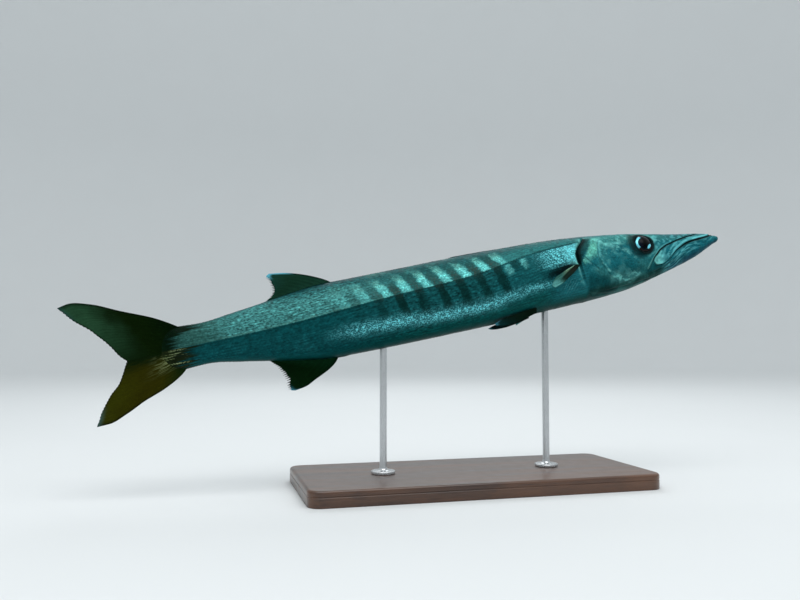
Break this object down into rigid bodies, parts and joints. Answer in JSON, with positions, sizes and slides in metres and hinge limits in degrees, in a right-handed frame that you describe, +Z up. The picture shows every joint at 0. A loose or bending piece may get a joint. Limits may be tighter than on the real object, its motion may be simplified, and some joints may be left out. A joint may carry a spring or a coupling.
{
  "type": "barracuda",
  "caption": "Life-size still model of a swimming barracuda with dark bars over silvery sides, long pointed head and forked tail, held on rods over a flat display base.",
  "frame": {"origin": "middle of the underside of the stand's base, on the surface it stands on", "axes": "+X towards the fish's head along the length of the base, +Z up, so the fish's right side faces -Y"},
  "size_m": [0.9841, 0.21, 0.3804],
  "materials": {
    "skin": "wet-looking silvery scales, grey-green above with dark bars, paler below, under a satin clear coat",
    "fin_dark": "dusky olive-black rayed fin, satin",
    "fin_olive": "olive-brown rayed fin with darker edges, satin",
    "fin_pale": "pale grey rayed fin, satin",
    "eye": "polished, black pupil in a silver ring",
    "stand_wood": "dark stained, satin lacquer",
    "stand_steel": "brushed"
  },
  "bodies": {
    "root": {"head": "skin", "jaw_lower": "skin", "gill_cover_right": "skin", "gill_cover_left": "skin", "trunk_front": "skin", "trunk_middle": "skin", "trunk_rear": "skin", "caudal_peduncle": "skin", "eye_right": "eye", "eye_left": "eye", "fin_dorsal_first": "fin_dark", "fin_dorsal_second": "fin_dark", "fin_anal": "fin_dark", "fin_caudal_upper": "fin_dark", "fin_caudal_lower": "fin_olive", "fin_pectoral_right": "fin_dark", "fin_pectoral_left": "fin_dark", "fin_pelvic_right": "fin_pale", "fin_pelvic_left": "fin_pale", "stand_base": "stand_wood", "stand_rod_front": "stand_steel", "stand_rod_rear": "stand_steel"}
  },
  "joints": []
}
